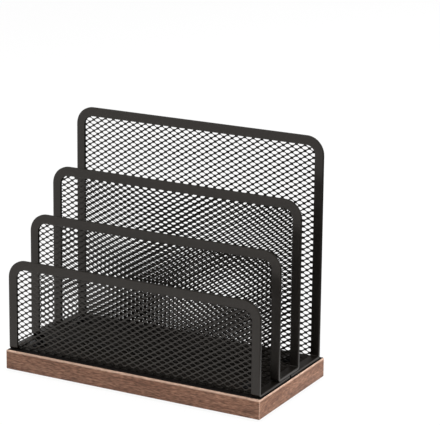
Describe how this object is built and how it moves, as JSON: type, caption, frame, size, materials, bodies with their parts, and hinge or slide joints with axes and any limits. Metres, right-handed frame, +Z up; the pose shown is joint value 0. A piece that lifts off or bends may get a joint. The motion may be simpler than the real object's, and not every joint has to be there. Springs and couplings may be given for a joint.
{
  "type": "envelope sorter",
  "caption": "Desktop envelope sorter: stepped upright mesh panels with folded steel edges, on a chamfered wooden base board.",
  "frame": {"origin": "middle of the board's outline, on the surface that the feet stand on", "axes": "+X along the board to the right, -Y to the front (the lowest panel), +Z up"},
  "size_m": [0.2, 0.0976, 0.1731],
  "materials": {
    "wood": "satin brown stain",
    "black_metal": "semi-matte black powder coat",
    "steel": "black oxide",
    "rubber": "matte black"
  },
  "bodies": {
    "root": {"base_board": "wood", "outer_tray_binding": "black_metal", "inner_tray_binding": "black_metal", "screw_washers": "steel", "tray_screws": "steel", "outer_tray_front_mesh": "black_metal", "outer_tray_front_mesh_bend": "black_metal", "outer_tray_floor_mesh": "black_metal", "outer_tray_rear_mesh_bend": "black_metal", "outer_tray_rear_mesh": "black_metal", "inner_tray_front_mesh": "black_metal", "inner_tray_front_mesh_bend": "black_metal", "inner_tray_floor_mesh": "black_metal", "inner_tray_rear_mesh_bend": "black_metal", "inner_tray_rear_mesh": "black_metal", "foot_front_left": "rubber", "foot_front_right": "rubber", "foot_rear_left": "rubber", "foot_rear_right": "rubber"}
  },
  "joints": []
}
